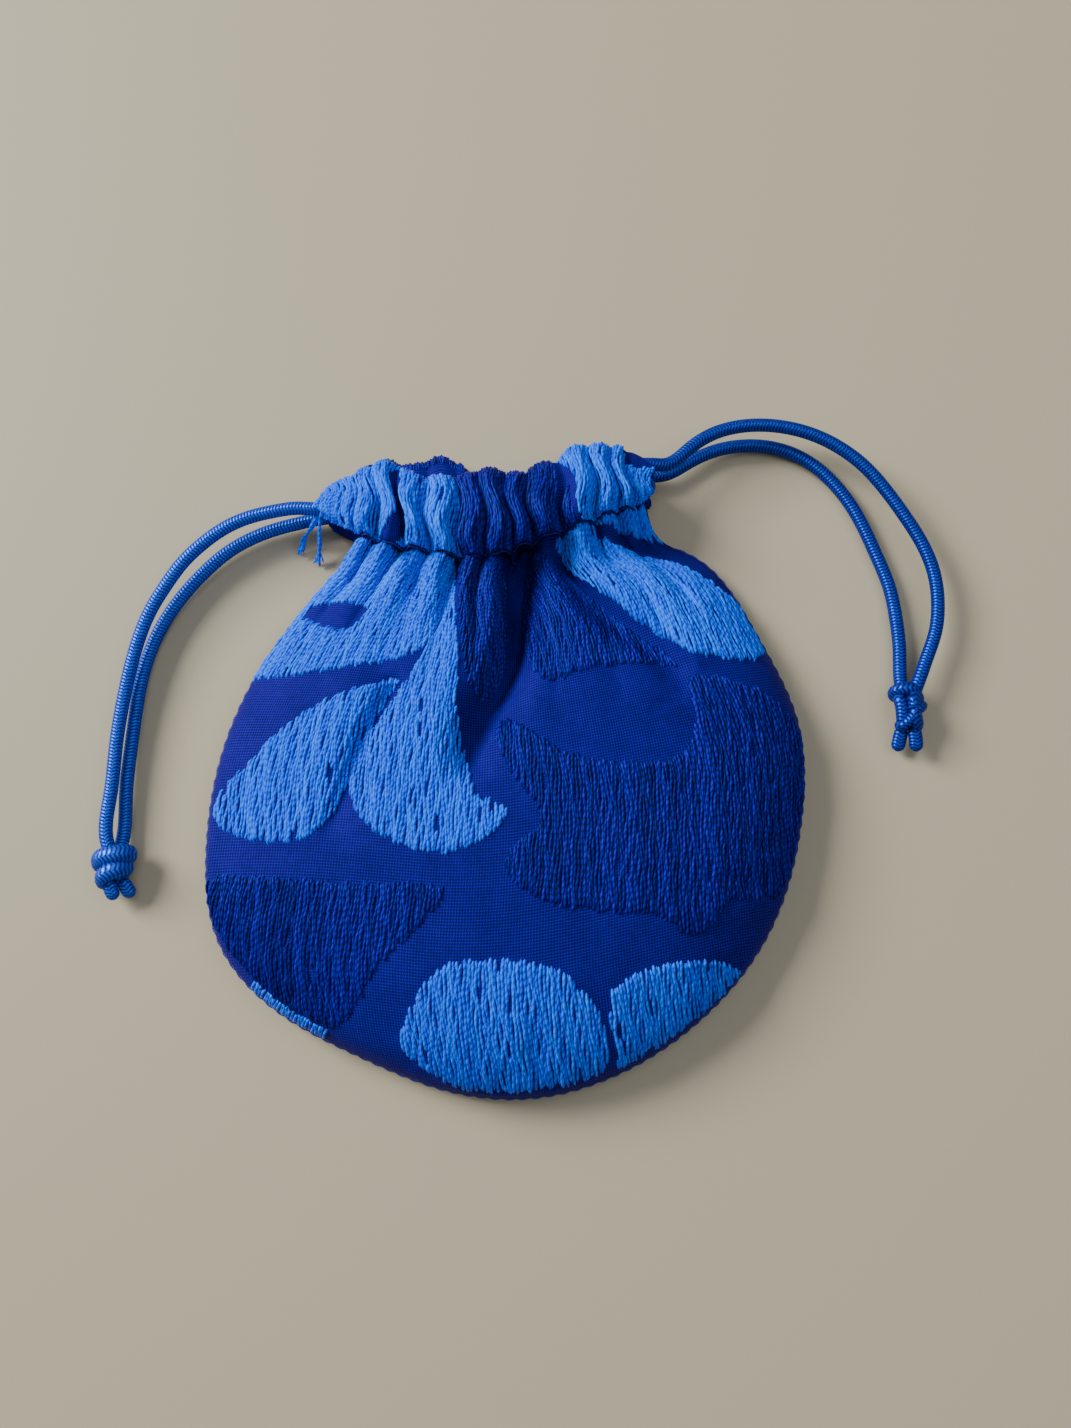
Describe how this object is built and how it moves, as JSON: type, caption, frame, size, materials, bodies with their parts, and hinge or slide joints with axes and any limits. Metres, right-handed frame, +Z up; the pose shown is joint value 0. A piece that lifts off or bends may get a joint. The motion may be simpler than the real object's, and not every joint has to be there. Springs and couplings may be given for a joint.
{
  "type": "drawstring gift pouch",
  "caption": "Small round-bottomed pouch of figured cloth, gathered at a casing mouth by two knotted satin cords, lying flat on its back.",
  "frame": {"origin": "middle of the pouch without its free cords, on the surface that it lies on", "axes": "+X along the mouth to the right, +Y out of the mouth, +Z up out of the front panel"},
  "size_m": [0.1543, 0.123, 0.017],
  "materials": {
    "figured_cloth": "matt ground weave in royal blue with raised floats in royal and azure",
    "sewing_thread": "twisted cotton sewing thread",
    "satin_cord": "braided satin with a soft sheen"
  },
  "bodies": {
    "pouch": {"front_panel": "figured_cloth", "back_panel": "figured_cloth", "side_seam_thread": "sewing_thread", "back_casing": "figured_cloth", "back_casing_stitch": "sewing_thread", "left_cord_turn": "satin_cord", "right_cord_turn": "satin_cord"},
    "front_lip": {"front_casing": "figured_cloth", "front_casing_stitch": "sewing_thread", "left_cord_front_run": "satin_cord", "right_cord_front_run": "satin_cord"},
    "left_cord": {"left_cord_back_run": "satin_cord"},
    "left_tail": {"left_strand_front": "satin_cord", "left_strand_back": "satin_cord", "left_knot": "satin_cord", "left_tip_front": "satin_cord", "left_tip_back": "satin_cord"},
    "right_cord": {"right_cord_back_run": "satin_cord"},
    "right_tail": {"right_strand_front": "satin_cord", "right_strand_back": "satin_cord", "right_knot": "satin_cord", "right_tip_front": "satin_cord", "right_tip_back": "satin_cord"}
  },
  "joints": [
    {"name": "mouth_open", "type": "hinge", "parent": "pouch", "child": "front_lip", "pos_m": [0.0007, 0.0101, 0.016], "axis": [0.9966, 0.0819, 0], "range_deg": [0, 25]},
    {"name": "left_pull", "type": "slide", "parent": "pouch", "child": "left_cord", "axis": [-0.9966, -0.0819, 0], "range_m": [0, 0.01]},
    {"name": "left_swing", "type": "hinge", "parent": "left_cord", "child": "left_tail", "pos_m": [-0.03585, 0.04727, 0.006], "axis": [0, 0, 1], "range_deg": [-60, 7]},
    {"name": "right_pull", "type": "slide", "parent": "pouch", "child": "right_cord", "axis": [0.9966, 0.0819, 0], "range_m": [0, 0.01]},
    {"name": "right_swing", "type": "hinge", "parent": "right_cord", "child": "right_tail", "pos_m": [0.03045, 0.05593, 0.006], "axis": [0, 0, 1], "range_deg": [-7, 60]}
  ]
}
